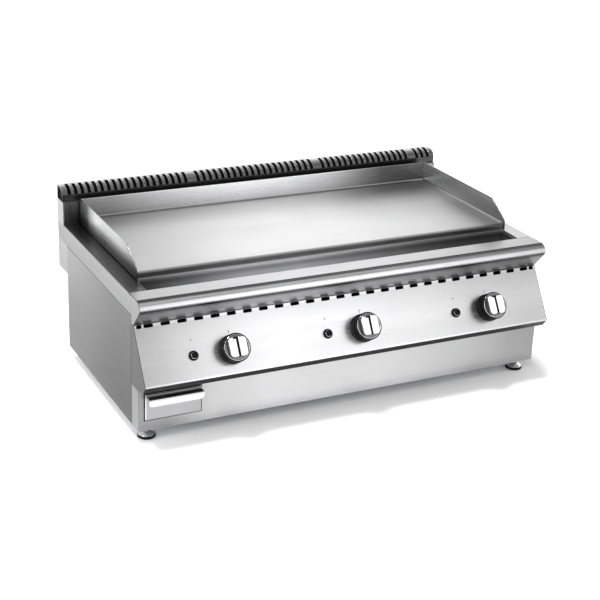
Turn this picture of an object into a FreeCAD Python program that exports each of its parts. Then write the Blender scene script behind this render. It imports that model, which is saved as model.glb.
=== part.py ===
import FreeCAD, Part
import Sketcher
import math
import os

# Gas flat top griddle, counter-top model, 1200 mm wide, 700 mm deep line.
# Frame: X to the right seen from the front, Y to the rear, Z up.
# The origin is under the middle of the whole appliance, on the surface it stands on.
# Sketch and placement heights are written from the ground; depths are written from
# the design datum and moved by y_shift, so the appliance sits centred on the origin.

V = FreeCAD.Vector
doc = FreeCAD.newDocument("griddle")
sheet = doc.addObject("Spreadsheet::Sheet", "Dims")

CELLS = [
    ("y_shift", 42.748, "moves the design datum so the box is centred"),
    ("half_width", 600, "half of the overall width"),
    ("metal", 1.5, "sheet thickness of the casing"),
    ("top_metal", 2, "sheet thickness of the worktop"),
    ("base_z", 35, "underside of the casing"),
    ("top_z", 390, "worktop surface"),
    ("skirt_z", 338, "lower edge of the worktop skirt"),
    ("rear_y", 318, "rear face of the flue duct"),
    ("back_y", 239, "rear end of the side panels"),
    ("duct_z", 254, "underside of the flue duct"),
    ("riser_y", 266, "front face of the flue riser"),
    ("riser_z", 455, "top of the flue riser"),
    ("grille_z", 495, "top of the flue grille"),
    ("grille_back", 8, "ledge in front of the flue grille"),
    ("grille_wall", 18, "plain wall under the grille slots"),
    ("grille_arc", 36, "depth of the grille's curved front"),
    ("grille_pitch", 19.27, "pitch of the flue grille slots"),
    ("grille_slot", 10, "width of a flue grille slot"),
    ("open_x", 556, "half width of the worktop opening"),
    ("open_y", -266, "front edge of the worktop opening"),
    ("strip_y", -321, "front edge of the flat worktop"),
    ("side_y", -284, "front end of the side panels"),
    ("plate_x", 552.5, "half width of the griddle plate"),
    ("plate_front", -197, "front edge of the griddle plate"),
    ("plate_rear", 249, "rear edge of the griddle plate"),
    ("plate_z", 409, "cooking surface"),
    ("plate_thick", 15, "thickness of the griddle plate"),
    ("guard_z", 466, "top of the splash guards"),
    ("guard_metal", 2.5, "thickness of the splash guards"),
    ("trough_z", 350, "underside of the grease trough"),
    ("panel_y", -301, "top edge of the control panel, depth"),
    ("panel_z", 307, "top edge of the control panel, height"),
    ("panel_len", 151.5, "length of the control panel down its slope"),
    ("panel_tilt", 57.66, "angle of the control panel normal from vertical"),
    ("vent_pitch", 44.9, "pitch of the vent slots"),
    ("vent_slot", 23, "length of a vent slot"),
    ("knob_row", 90.5, "knob row, measured down the control panel"),
    ("knob_one", -354.5, "first knob"),
    ("knob_two", 23.5, "second knob"),
    ("knob_three", 418, "third knob"),
    ("igniter_off", 105, "igniter button to the left of its knob"),
    ("igniter_row", 90, "igniter row, measured down the control panel"),
    ("apron_y", -330, "face of the lower front panel"),
    ("apron_z", 150, "top of the lower front panel"),
    ("drawer_left", -581, "left edge of the drawer front"),
    ("drawer_right", -429, "right edge of the drawer front"),
    ("drawer_low", 63, "lower edge of the drawer front"),
    ("drawer_top", 135, "upper edge of the drawer front"),
    ("tray_deep", 380, "depth of the drawer tray"),
    ("foot_x", 565, "foot position across"),
    ("foot_rear_x", 500, "rear foot position across"),
    ("foot_front", -296, "front foot position"),
    ("foot_back", 195, "rear foot position"),
    ("foot_rad", 24, "radius of the foot disc"),
    ("pipe_rad", 10.65, "outer radius of the gas rail, half inch pipe"),
    ("rail_y", -337, "gas rail, depth"),
    ("rail_z", 194, "gas rail, height"),
    ("inlet_x", 480, "gas inlet position across"),
    ("tray_z", 300, "underside of the combustion tray"),
    ("burner_z", 335, "burner axis"),
]
VALUE = {}
for row, (alias, number, note) in enumerate(CELLS, start=1):
    sheet.set("A%d" % row, alias)
    sheet.set("B%d" % row, str(number))
    sheet.set("C%d" % row, note)
    sheet.setAlias("B%d" % row, alias)
    VALUE[alias] = float(number)
doc.recompute()


class Q:
    """A number together with the spreadsheet expression that gives it."""

    def __init__(self, value, text=None):
        self.v = float(value)
        self.s = text if text is not None else ("%.6g" % value if value >= 0 else "(%.6g)" % value)
        self.bound = text is not None

    def __add__(self, o):
        o = q(o)
        return Q(self.v + o.v, "%s + %s" % (self.s, o.s)) if self.bound or o.bound else Q(self.v + o.v)

    __radd__ = __add__

    def __neg__(self):
        return Q(-self.v, "-1 * (%s)" % self.s) if self.bound else Q(-self.v)

    def __sub__(self, o):
        o = q(o)
        return Q(self.v - o.v, "%s - (%s)" % (self.s, o.s)) if self.bound or o.bound else Q(self.v - o.v)

    def __rsub__(self, o):
        return q(o) - self

    def __mul__(self, o):
        o = q(o)
        return Q(self.v * o.v, "(%s) * (%s)" % (self.s, o.s)) if self.bound or o.bound else Q(self.v * o.v)

    __rmul__ = __mul__


def q(x):
    return x if isinstance(x, Q) else Q(x)


def D(alias):
    return Q(VALUE[alias], "Dims." + alias)


def bind(obj, prop, x, unit="mm"):
    x = q(x)
    if x.bound:
        obj.setExpression(prop, "(%s) * 1 %s" % (x.s, unit) if unit else x.s)


def place(obj, x=0, y=0, z=0, rot=None, shift=True):
    """Place an object; the depth is moved by y_shift."""
    x, y, z = q(x), q(y), q(z)
    if shift:
        y = y + D("y_shift")
    obj.Placement = FreeCAD.Placement(V(x.v, y.v, z.v), rot or FreeCAD.Rotation())
    for axis, val in (("x", x), ("y", y), ("z", z)):
        bind(obj, ".Placement.Base." + axis, val)
    return obj


TILT = math.radians(VALUE["panel_tilt"])
ROT_PANEL = FreeCAD.Rotation(V(1, 0, 0), VALUE["panel_tilt"])
COS = Q(math.cos(TILT), "cos(Dims.panel_tilt * 1 deg)")
SIN = Q(math.sin(TILT), "sin(Dims.panel_tilt * 1 deg)")


def on_panel(obj, x, s, height=0):
    """Place an object on the control panel: s down the slope, height off its face."""
    s, height = q(s), q(height)
    y = D("panel_y") - s * COS - height * SIN
    z = D("panel_z") - s * SIN + height * COS
    return place(obj, x, y, z, ROT_PANEL)


def box(name, x, y, z, shift=True):
    """A block from (low, high) pairs."""
    o = doc.addObject("Part::Box", name)
    for prop, (low, high) in (("Length", x), ("Width", y), ("Height", z)):
        size = q(high) - q(low)
        setattr(o, prop, size.v)
        bind(o, prop, size)
    return place(o, x[0], y[0], z[0], None, shift)


AXES = {
    "x": FreeCAD.Rotation(V(0, 1, 0), 90),
    "y": FreeCAD.Rotation(V(1, 0, 0), -90),
    "z": FreeCAD.Rotation(),
}


def cyl(name, r, height, x, y, z, axis="z"):
    o = doc.addObject("Part::Cylinder", name)
    r, height = q(r), q(height)
    o.Radius, o.Height = r.v, height.v
    bind(o, "Radius", r)
    bind(o, "Height", height)
    return place(o, x, y, z, AXES[axis])


def fuse(name, parts):
    o = doc.addObject("Part::MultiFuse", name)
    o.Shapes = parts
    o.Refine = True
    return o


def cut(name, base, tool):
    o = doc.addObject("Part::Cut", name)
    o.Base, o.Tool = base, tool
    o.Refine = True
    return o


def group(name, parts):
    """Separate solids that share one node."""
    o = doc.addObject("Part::Compound", name)
    o.Links = parts
    return o


def plane(body, role):
    for f in body.Origin.OriginFeatures:
        if f.Role == role:
            return f
    raise ValueError(role)


def polygon_sketch(body, name, pts, role):
    """A closed sketch of straight lines; every corner is dimensioned from the origin."""
    sk = body.newObject("Sketcher::SketchObject", name)
    sk.AttachmentSupport = [(plane(body, role), "")]
    sk.MapMode = "FlatFace"
    pts = [(q(a), q(b)) for a, b in pts]
    n = len(pts)
    for i in range(n):
        a, b = pts[i], pts[(i + 1) % n]
        sk.addGeometry(Part.LineSegment(V(a[0].v, a[1].v, 0), V(b[0].v, b[1].v, 0)), False)
    cons = []
    for i in range(n):
        cons.append(Sketcher.Constraint("Coincident", i, 2, (i + 1) % n, 1))
    sk.addConstraint(cons)
    for i, (a, b) in enumerate(pts):
        for kind, val in (("DistanceX", a), ("DistanceY", b)):
            idx = sk.addConstraint(Sketcher.Constraint(kind, -1, 1, i, 1, val.v))
            if val.bound:
                sk.setExpression("Constraints[%d]" % idx, "(%s) * 1 mm" % val.s)
    return sk


def prism(name, pts, role, length, x=0, y=0, z=0):
    """A body: one closed outline padded to a length. YZ outlines are (depth, height)."""
    body = doc.addObject("PartDesign::Body", name)
    sk = polygon_sketch(body, name + "_sketch", pts, role)
    pad = body.newObject("PartDesign::Pad", name + "_pad")
    pad.Profile = sk
    length = q(length)
    pad.Length = length.v
    bind(pad, "Length", length)
    body.Tip = pad
    place(body, x, y, z)
    return body


def turned(name, pts):
    """A body of revolution about its own Z axis; points are (radius, height)."""
    body = doc.addObject("PartDesign::Body", name)
    sk = polygon_sketch(body, name + "_sketch", pts, "XZ_Plane")
    rev = body.newObject("PartDesign::Revolution", name + "_turn")
    rev.Profile = sk
    rev.ReferenceAxis = (sk, ["V_Axis"])
    rev.Angle = 360
    body.Tip = rev
    return body


def bent(path, metal, side=1):
    """Outline of a bent sheet: the outer path and the same path moved in by the thickness.
    side = 1 puts the thickness on the left of the path."""
    p = [(q(a), q(b)) for a, b in path]
    n = len(p)
    inner = []
    for i in range(n):
        dirs = []
        if i > 0:
            dirs.append((p[i][0].v - p[i - 1][0].v, p[i][1].v - p[i - 1][1].v))
        if i < n - 1:
            dirs.append((p[i + 1][0].v - p[i][0].v, p[i + 1][1].v - p[i][1].v))
        norms = []
        for dx, dy in dirs:
            length = math.hypot(dx, dy)
            norms.append((-dy / length * side, dx / length * side))
        if len(norms) == 1:
            kx, ky = norms[0]
        else:
            sx, sy = norms[0][0] + norms[1][0], norms[0][1] + norms[1][1]
            dot = norms[0][0] * norms[1][0] + norms[0][1] * norms[1][1]
            kx, ky = sx / (1 + dot), sy / (1 + dot)
        kx, ky = round(kx, 5), round(ky, 5)
        inner.append((p[i][0] + Q(kx) * metal, p[i][1] + Q(ky) * metal))
    return p + inner[::-1]


HW, T, TT = D("half_width"), D("metal"), D("top_metal")
WIDE = HW + HW
nodes = []


def node(obj, name):
    obj.Label = name
    nodes.append((name, obj))
    return obj


def placed_shape(name, shape):
    o = doc.addObject("Part::Feature", name)
    o.Shape = shape
    o.Placement = FreeCAD.Placement(V(0, VALUE["y_shift"], 0), FreeCAD.Rotation())
    return o


# ---------------------------------------------------------------- worktop
# Front strip, drip bend, rounded nose and undercut, folded from one sheet.
nose = [
    (D("open_y"), D("top_z") - 18),
    (D("open_y"), D("top_z")),
    (D("strip_y"), D("top_z")),
    (D("strip_y") - 1.6, D("top_z") - 1.6),
    (D("strip_y") - 5.5, D("top_z") - 2.2),
    (D("strip_y") - 9.5, D("top_z") - 3.2),
    (D("strip_y") - 14.5, D("top_z") - 6),
    (D("strip_y") - 18.5, D("top_z") - 9.6),
    (D("strip_y") - 21.2, D("top_z") - 14.2),
    (D("strip_y") - 22, D("top_z") - 19.5),
    (D("strip_y") - 20.8, D("top_z") - 25),
    (D("strip_y") - 17.4, D("top_z") - 30.4),
    (D("strip_y") + 24, D("skirt_z") - 24),
    (D("strip_y") + 36, D("skirt_z") - 24),
]
front_edge = prism("front_edge", bent(nose, TT), "YZ_Plane", WIDE, -HW)
caps = []
for tag, x0 in (("left", -HW), ("right", HW - TT)):
    outline = [(D("side_y"), D("skirt_z") - 24)] + nose[::-1][1:-2] + [(D("side_y"), D("top_z"))]
    caps.append(prism("nose_end_" + tag, outline, "YZ_Plane", TT, x0))
    caps.append(box("skirt_" + tag, (x0, x0 + TT), (D("side_y"), D("rear_y")), (D("skirt_z"), D("top_z") - TT)))
    inner = -D("open_x") - TT if tag == "left" else D("open_x")
    caps.append(box("opening_flange_" + tag, (inner, inner + TT), (D("open_y"), D("riser_y")),
                    (D("top_z") - 18, D("top_z") - TT)))
    low, high = (-HW, -D("open_x")) if tag == "left" else (D("open_x"), HW)
    caps.append(box("side_strip_" + tag, (low, high), (D("open_y"), D("riser_y")), (D("top_z") - TT, D("top_z"))))
worktop = fuse("worktop", [front_edge] + caps)
node(worktop, "worktop_frame")

# ---------------------------------------------------------------- side and rear panels
screw_pts = [(sx, h) for sx in (-592, 592) for h in (60, 145, 230)]


def screw_tools(tag):
    return fuse("screw_holes_" + tag, [
        cyl("hole_%s_%d" % (tag, i), 2, 20, x, D("back_y") - 12, h, "y")
        for i, (x, h) in enumerate(screw_pts)
    ])


for tag, sgn in (("left", -1), ("right", 1)):
    path = [
        (sgn * (HW - 13), D("side_y")),
        (sgn * HW, D("side_y")),
        (sgn * HW, D("back_y")),
        (sgn * (HW - 13), D("back_y")),
    ]
    panel = prism("side_sheet_" + tag, bent(path, T, 1 if sgn > 0 else -1), "XY_Plane",
                  D("skirt_z") - D("base_z"), 0, 0, D("base_z"))
    node(cut("side_panel_" + tag, panel, screw_tools("side_" + tag)), "side_panel_" + tag)

rear_sheet = box("rear_sheet", (-HW + T, HW - T), (D("back_y") - 2 * T, D("back_y") - T),
                 (D("base_z") + T, D("duct_z")))
inlet_hole = cyl("inlet_hole", 10.5, 20, D("inlet_x"), D("back_y") - 10, D("rail_z"), "y")
node(cut("rear_panel", rear_sheet, fuse("rear_holes", [inlet_hole, screw_tools("rear")])), "rear_panel")

screws = []
for i, (x, h) in enumerate(screw_pts):
    body = turned("screw_%d" % i, [(0, -9), (2, -9), (2, 0), (4.2, 0), (4, 1.2), (3, 2.2), (1.4, 2.7), (0, 2.7)])
    place(body, x, D("back_y"), h, AXES["y"])
    screws.append(body)
node(group("panel_screws", screws), "panel_screws")

# ---------------------------------------------------------------- base
PANZ = (D("base_z"), D("base_z") + T)
pan = box("pan_floor", (-HW + T, HW - T), (D("side_y") + T, D("back_y") - 2 * T), PANZ)
pan_neck = box("pan_neck", (-HW + 13, HW - 13), (D("side_y") - 1, D("side_y") + T), PANZ)
pan_toe = box("pan_toe", (-HW + T, HW - T), (D("apron_y") + T, D("side_y") - 1), PANZ)
pan_up = box("pan_front", (-HW + 20, HW - 20), (D("apron_y") + T, D("apron_y") + 2 * T),
             (D("base_z") + T, D("base_z") + 16))
stud_holes = []
FEET = [("front_left", -1, "foot_front"), ("front_right", 1, "foot_front"),
        ("rear_left", -1, "foot_back"), ("rear_right", 1, "foot_back")]
ACROSS = {"foot_front": "foot_x", "foot_back": "foot_rear_x"}
sockets = []
for i, (tag, sgn, depth) in enumerate(FEET):
    stud_holes.append(cyl("stud_hole_%d" % i, 9, 12, sgn * D(ACROSS[depth]), D(depth), D("base_z") - 4))
    socket = turned("foot_socket_%d" % i, [(5.05, 0), (9, 0), (9, T), (13, T), (13, T + 2.5), (9, T + 2.5),
                                           (9, 24), (5.05, 24)])
    place(socket, sgn * D(ACROSS[depth]), D(depth), D("base_z"))
    sockets.append(socket)
node(cut("base_pan", fuse("pan_shape", [pan, pan_neck, pan_toe, pan_up]), fuse("pan_holes", stud_holes)), "base_pan")
node(group("foot_sockets", sockets), "foot_sockets")
for i, (tag, sgn, depth) in enumerate(FEET):
    R = D("foot_rad")
    foot = turned("foot_%s" % tag, [(0, 0), (R - 3, 0), (R, 2), (R, 7), (R - 2, 9), (13, 10.5), (9, 14), (9, 25),
                                    (5, 26), (5, 61), (4, 62), (0, 62)])
    place(foot, sgn * D(ACROSS[depth]), D(depth), 0)
    node(foot, "foot_" + tag)

# ---------------------------------------------------------------- lower front panel and drawer
apron_path = [(-HW, D("side_y") - 1), (-HW, D("apron_y")), (HW, D("apron_y")), (HW, D("side_y") - 1)]
apron = prism("apron_sheet", bent(apron_path, T), "XY_Plane", D("apron_z") - D("base_z"), 0, 0, D("base_z"))
apron_hole = box("apron_hole", (D("drawer_left") - 4, D("drawer_right") + 1.5), (D("apron_y") - 5, D("apron_y") + 20),
                 (D("drawer_low") - 1.5, D("apron_z") + 1))
apron_flange = box("apron_flange", (-HW + T, HW - T), (D("apron_y") + T, D("apron_y") + 16),
                   (D("apron_z") - T, D("apron_z")))
node(cut("lower_front_panel", fuse("apron_shape", [apron, apron_flange]), apron_hole), "lower_front_panel")

DL, DR, DB, DT = D("drawer_left"), D("drawer_right"), D("drawer_low"), D("drawer_top")
face = box("drawer_plate", (DL, DR), (D("apron_y"), D("apron_y") + T), (DB, DT))
node(face, "drawer_front")
lip_path = [
    (D("apron_y"), DT - 3),
    (D("apron_y") - 16, DT - 3),
    (D("apron_y") - 24, DT - 5),
    (D("apron_y") - 27, DT - 10),
    (D("apron_y") - 26, DT - 24),
]
lip_raw = prism("drawer_lip", bent(lip_path, T), "YZ_Plane", DR - DL - 4, DL + 2)
lip_back = box("lip_back", (DL + 2, DR - 2), (D("apron_y") - T, D("apron_y")), (DT - 14, DT - 3))
node(fuse("drawer_handle", [lip_raw, lip_back]), "drawer_handle")
tray_out = box("tray_out", (DL + 6, DR - 6), (D("apron_y") + T, D("apron_y") + T + D("tray_deep")), (DB + 3, DT - 10))
tray_in = box("tray_in", (DL + 6 + T, DR - 6 - T), (D("apron_y") + 2 * T, D("apron_y") + D("tray_deep")),
              (DB + 3 + T, DT + 5))
node(cut("drawer_tray", tray_out, tray_in), "drawer_tray")
for tag, x0, sgn in (("left", DL + 6, -1), ("right", DR - 6, 1)):
    path = [
        (x0 - sgn * 12, DB + 2.6),
        (x0 + sgn * 3, DB + 2.6),
        (x0 + sgn * 3, DB + 30),
    ]
    run = prism("guide_bent_" + tag, bent(path, T, -1 if sgn > 0 else 1), "XZ_Plane", D("tray_deep") - 10)
    # the outline is drawn on XZ and padded towards the front
    place(run, 0, D("apron_y") + 12 + D("tray_deep") - 10, 0)
    leg = box("guide_leg_" + tag, (x0 - 4, x0 + 4), (D("apron_y") + 62, D("apron_y") + 66),
              (D("base_z") + T, DB + 2.6 - T))
    leg2 = box("guide_leg_rear_" + tag, (x0 - 4, x0 + 4), (D("apron_y") + 340, D("apron_y") + 344),
               (D("base_z") + T, DB + 2.6 - T))
    node(fuse("drawer_guide_" + tag, [run, leg, leg2]), "drawer_guide_" + tag)

# ---------------------------------------------------------------- control panel
PY, PZ, PL = D("panel_y"), D("panel_z"), D("panel_len")
panel_path = [
    (PY + 14, PZ + 6.5),
    (PY + 2.6, PZ + 6.5),
    (PY, PZ),
    (PY - PL * COS, PZ - PL * SIN),
    (PY - PL * COS + 16, PZ - PL * SIN - 22),
    (D("apron_y"), D("apron_z") + 1.6),
    (D("apron_y") + 10, D("apron_z") + 1.6),
]
panel_sheet = prism("panel_sheet", bent(panel_path, T), "YZ_Plane", WIDE - 2 * T, -HW + T)
tools = []
for i in range(26):
    x = D("vent_pitch") * (i - 12.5)
    tools.append(box("vent_%d" % i, (x - 0.5 * D("vent_slot"), x + 0.5 * D("vent_slot")), (PY - 3, PY + 6),
                     (PZ + 0.6, PZ + 4.9)))
for i, sgn in enumerate((-1, 1)):
    tools.append(box("vent_end_%d" % i, (sgn * 586 - 6.5, sgn * 586 + 6.5), (PY - 3, PY + 6), (PZ + 0.6, PZ + 4.9)))
KNOBS = [D("knob_one"), D("knob_two"), D("knob_three")]
for i, x in enumerate(KNOBS):
    hole = doc.addObject("Part::Cylinder", "stem_hole_%d" % i)
    hole.Radius, hole.Height = 9, 20
    on_panel(hole, x, D("knob_row"), -10)
    tools.append(hole)
    hole = doc.addObject("Part::Cylinder", "igniter_hole_%d" % i)
    hole.Radius, hole.Height = 9, 20
    on_panel(hole, x - D("igniter_off"), D("igniter_row"), -10)
    tools.append(hole)
node(cut("control_panel", panel_sheet, fuse("panel_cuts", tools)), "control_panel")

cheek = [
    (D("side_y") - 1, PZ + 6.5), (PY + 4, PZ + 6.5), (PY, PZ), (PY - PL * COS, PZ - PL * SIN),
    (PY - PL * COS + 16, PZ - PL * SIN - 22),
    (D("apron_y"), D("apron_z") + 1.6), (D("apron_y"), D("apron_z")), (D("side_y") - 1, D("apron_z")),
]
for tag, x0 in (("left", -HW), ("right", HW - T)):
    node(prism("control_cheek_" + tag, cheek, "YZ_Plane", T, x0), "control_cheek_" + tag)

# ---------------------------------------------------------------- flue duct, riser and grille
duct_path = [
    (D("back_y"), D("duct_z") + 12),
    (D("back_y"), D("duct_z")),
    (D("rear_y"), D("duct_z")),
    (D("rear_y"), D("riser_z")),
]
duct_sheet = prism("duct_sheet", bent(duct_path, T), "YZ_Plane", WIDE - 2 * TT, -HW + TT)
duct_parts = [duct_sheet]
side = [
    (D("back_y"), D("duct_z")), (D("rear_y"), D("duct_z")), (D("rear_y"), D("riser_z")),
    (D("riser_y"), D("riser_z")), (D("riser_y"), D("top_z") - TT - 20), (D("back_y"), D("top_z") - TT - 20),
]
for tag, x0, x1 in (("left", -HW, -HW + TT), ("right", HW - TT, HW - TT - T)):
    # side plate inside the skirt, with flush facings below the skirt and above the worktop
    duct_parts.append(prism("duct_side_" + tag, side, "YZ_Plane", T, x1))
    duct_parts.append(box("duct_low_" + tag, (x0, x0 + TT), (D("back_y"), D("rear_y")), (D("duct_z"), D("skirt_z"))))
    duct_parts.append(box("duct_high_" + tag, (x0, x0 + TT), (D("riser_y"), D("rear_y")),
                          (D("top_z") - TT, D("riser_z"))))
node(fuse("flue_duct", duct_parts), "flue_duct")

riser_path = [
    (D("riser_y"), D("top_z") - 18),
    (D("riser_y"), D("riser_z")),
    (D("riser_y") + 9, D("riser_z")),
]
riser_panel = prism("riser_panel", bent(riser_path, T, -1), "YZ_Plane", WIDE - 2 * (TT + T), -HW + TT + T)
node(riser_panel, "flue_riser_front")

GB, GT, RY = D("riser_z"), D("grille_z"), D("riser_y")
HB, HZ, HR, HH = RY + D("grille_back"), GB + D("grille_wall"), D("grille_arc"), D("grille_z") - D("riser_z") - D("grille_wall")
hood = [(HB, GB), (HB, HZ)]
for deg in (12, 24, 36, 48, 60, 72, 84, 90):
    a = math.radians(deg)
    hood.append((HB + HR * round(1 - math.cos(a), 5), HZ + HH * round(math.sin(a), 5)))
hood += [(D("rear_y"), GT), (D("rear_y"), GB)]
hood_body = doc.addObject("PartDesign::Body", "hood_body")
hood_sk = polygon_sketch(hood_body, "hood_sketch", bent(hood, TT, -1), "YZ_Plane")
hood_pad = hood_body.newObject("PartDesign::Pad", "hood_pad")
hood_pad.Profile = hood_sk
hood_pad.Length = (WIDE).v
bind(hood_pad, "Length", WIDE)
slot_sk = polygon_sketch(hood_body, "slot_sketch", [
    (RY - 4, HZ + 1), (RY + 44, HZ + 1), (RY + 44, GT + 4), (RY - 4, GT + 4)], "YZ_Plane")
first = HW - D("grille_pitch") * 30 - D("grille_slot") * 0.5
slot_sk.AttachmentOffset = FreeCAD.Placement(V(0, 0, first.v), FreeCAD.Rotation())
bind(slot_sk, "AttachmentOffset.Base.z", first)
doc.recompute()
slot = hood_body.newObject("PartDesign::Pocket", "slot_pocket")
slot.Profile = slot_sk
slot.Reversed = True
slot.Length = VALUE["grille_slot"]
bind(slot, "Length", D("grille_slot"))
doc.recompute()
before = hood_pad.Shape.Volume
if slot.Shape.Volume >= before - 1:
    raise RuntimeError("the grille slot cuts nothing")
pattern = hood_body.newObject("PartDesign::LinearPattern", "slot_row")
pattern.Originals = [slot]
pattern.Direction = (slot_sk, ["N_Axis"])
pattern.Length = VALUE["grille_pitch"] * 60
bind(pattern, "Length", D("grille_pitch") * 60)
pattern.Occurrences = 61
hood_body.Tip = pattern
place(hood_body, -HW)
doc.recompute()
bridges = []
for i in (19, 40, 57):
    x = D("grille_pitch") * (i - 30)
    outline = bent(hood[:-1], TT, -1)
    bridges.append(prism("bridge_%d" % i, outline, "YZ_Plane", D("grille_slot"), x - 0.5 * D("grille_slot")))
node(fuse("flue_grille", [hood_body] + bridges), "flue_grille")

# ---------------------------------------------------------------- plate, guards and trough
PX, PF, PR, PT = D("plate_x"), D("plate_front"), D("plate_rear"), D("plate_z")
plate = box("plate_block", (-PX, PX), (PF, PR), (PT - D("plate_thick"), PT))
node(plate, "griddle_plate")
GM = D("guard_metal")
guard = [
    (PF - 4, D("top_z") - 25), (PF - 4, PT + 6), (PF - 2, PT + 10.5), (PF + 3, PT + 15.5), (PF + 60, D("guard_z") - 4.5),
    (PF + 64, D("guard_z") - 1.6), (PF + 70, D("guard_z")), (PR + GM, D("guard_z")), (PR + GM, D("top_z") - 25),
]
for tag, x0 in (("left", -PX - GM), ("right", PX)):
    node(prism("splash_guard_" + tag, guard, "YZ_Plane", GM, x0), "splash_guard_" + tag)
node(box("splash_guard_rear", (-PX, PX), (PR, PR + GM), (D("top_z") - 25, D("guard_z"))), "splash_guard_rear")

TZ = D("trough_z")
PB = PT - D("plate_thick")
trough_path = [
    (PF + 12, PB), (PF - 4, PB), (PF - 4, TZ), (D("open_y") + TT, TZ), (D("open_y") + TT, D("top_z") - 4),
]
trough_sheet = prism("trough_sheet", bent(trough_path, TT), "YZ_Plane", 2 * PX, -PX)
trough_parts = [trough_sheet]
for tag, x0 in (("left", -PX), ("right", PX - TT)):
    trough_parts.append(box("trough_end_" + tag, (x0, x0 + TT), (D("open_y") + TT, PF - 4), (TZ, D("top_z") - 4)))
drain = cyl("drain_hole", 18, 30, -505, -232, TZ - 10)
node(cut("grease_trough", fuse("trough_shape", trough_parts), drain), "grease_trough")
chute = turned("chute_turn", [(18, 0), (20, 0), (20, 215), (26, 220 - 1.5), (26, 220), (18, 220)])
place(chute, -505, -232, TZ - TT - 220)
node(chute, "drain_chute")

# ---------------------------------------------------------------- combustion chamber
CZ = D("tray_z")
tray_path = [
    (PF + 9, PB - 2), (PF + 9, CZ), (D("back_y") - 4, CZ), (D("back_y") - 4, CZ + 45),
]
chamber_sheet = prism("chamber_sheet", bent(tray_path, T), "YZ_Plane", 1090, -545)
chamber_parts = [chamber_sheet]
for tag, x0 in (("left", -545), ("right", 545 - T)):
    chamber_parts.append(box("chamber_side_" + tag, (x0, x0 + T), (PF + 9, D("back_y") - 4), (CZ, PB - 2)))
air_holes = [cyl("air_hole_%d" % i, 11.3, 20, x, PF, D("burner_z"), "y") for i, x in enumerate(KNOBS)]
node(cut("combustion_tray", fuse("chamber_shape", chamber_parts), fuse("air_holes", air_holes)), "combustion_tray")
node(box("insulation_board", (-540, 540), (PF + 14, D("back_y") - 9), (CZ - 12, CZ)), "insulation_board")
rails = []
for i, y0 in enumerate((-160, 180)):
    outer = box("rail_out_%d" % i, (-HW + T, HW - T), (y0, y0 + 30), (CZ - 32, CZ - 12))
    inner = box("rail_in_%d" % i, (-HW + T, HW - T), (y0 + 2, y0 + 28), (CZ - 30, CZ - 14))
    rails.append(cut("rail_%d" % i, outer, inner))
node(group("chamber_rails", rails), "chamber_rails")

holders, pilots, probes = [], [], []
for i, x in enumerate(KNOBS):
    n = i + 1
    bz = D("burner_z")
    outer = fuse("burner_out_%d" % n, [
        cyl("mixer_%d" % n, 17, 66, x, PF + 15, bz, "y"),
        cyl("cross_%d" % n, 15, 190, x - 95, PF + 78, bz, "x"),
        cyl("branch_a_%d" % n, 14, 310, x - 80, PF + 78, bz, "y"),
        cyl("branch_b_%d" % n, 14, 310, x + 80, PF + 78, bz, "y"),
    ])
    inner = fuse("burner_in_%d" % n, [
        cyl("mixer_in_%d" % n, 15.5, 70, x, PF + 10, bz, "y"),
        cyl("cross_in_%d" % n, 13.5, 186, x - 93, PF + 78, bz, "x"),
        cyl("branch_in_a_%d" % n, 12.5, 308, x - 80, PF + 78, bz, "y"),
        cyl("branch_in_b_%d" % n, 12.5, 308, x + 80, PF + 78, bz, "y"),
    ])
    node(cut("burner_%d" % n, outer, inner), "burner_%d" % n)
    holder = turned("holder_%d" % n, [(1.2, 0), (11, 0), (11, 16), (8, 18), (8, 24), (1.2, 24)])
    place(holder, x, PF - 12, bz, AXES["y"])
    holders.append(holder)
    pilot = turned("pilot_%d" % n, [(0, 0), (7, 0), (7, 4), (5, 4), (5, 30), (3, 34), (0, 34)])
    place(pilot, x + 36, PF + 114, CZ + T)
    pilots.append(pilot)
    probe = turned("probe_%d" % n, [(0, 0), (5, 0), (5, 8), (2, 8), (2, 48), (1, 49), (0, 49)])
    place(probe, x + 50, PF + 114, CZ + T)
    probes.append(probe)
node(group("injector_holders", holders), "injector_holders")
node(group("pilot_burners", pilots), "pilot_burners")
node(group("thermocouples", probes), "thermocouples")

# ---------------------------------------------------------------- gas rail and inlet


def pipe(points, radius, bore, bend):
    """A tube along straight runs joined by tangent arcs."""
    edges = []
    prev = points[0]
    for k in range(1, len(points) - 1):
        a, b, c = points[k - 1], points[k], points[k + 1]
        u, w = (a - b).normalize(), (c - b).normalize()
        half = u.getAngle(w) / 2
        trim = bend / math.tan(half)
        p1, p2 = b + u * trim, b + w * trim
        bis = (u + w).normalize()
        centre = b + bis * (bend / math.sin(half))
        mid = centre - bis * bend
        if (p1 - prev).Length > 1e-6:
            edges.append(Part.LineSegment(prev, p1).toShape())
        edges.append(Part.Arc(p1, mid, p2).toShape())
        prev = p2
    edges.append(Part.LineSegment(prev, points[-1]).toShape())
    wire = Part.Wire(edges)
    start = points[0]
    direction = points[1] - points[0]
    outer = Part.Wire([Part.Circle(start, direction, radius).toShape()])
    solid = wire.makePipeShell([outer], True, False)
    if bore:
        inner = Part.Wire([Part.Circle(start, direction, bore).toShape()])
        solid = solid.cut(wire.makePipeShell([inner], True, False))
    if solid.ShapeType != "Solid":
        solid = solid.Solids[0]
    return solid


VV = VALUE
rail = pipe([V(-405, VV["rail_y"], VV["rail_z"]), V(VV["inlet_x"], VV["rail_y"], VV["rail_z"]),
             V(VV["inlet_x"], VV["back_y"] - 2 * VV["metal"], VV["rail_z"])], VV["pipe_rad"], 8, 32)
plug = Part.makeCylinder(VV["pipe_rad"], 6, V(-411, VV["rail_y"], VV["rail_z"]), V(1, 0, 0))
node(placed_shape("gas_rail", rail.fuse(plug).removeSplitter()), "gas_rail")

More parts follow.
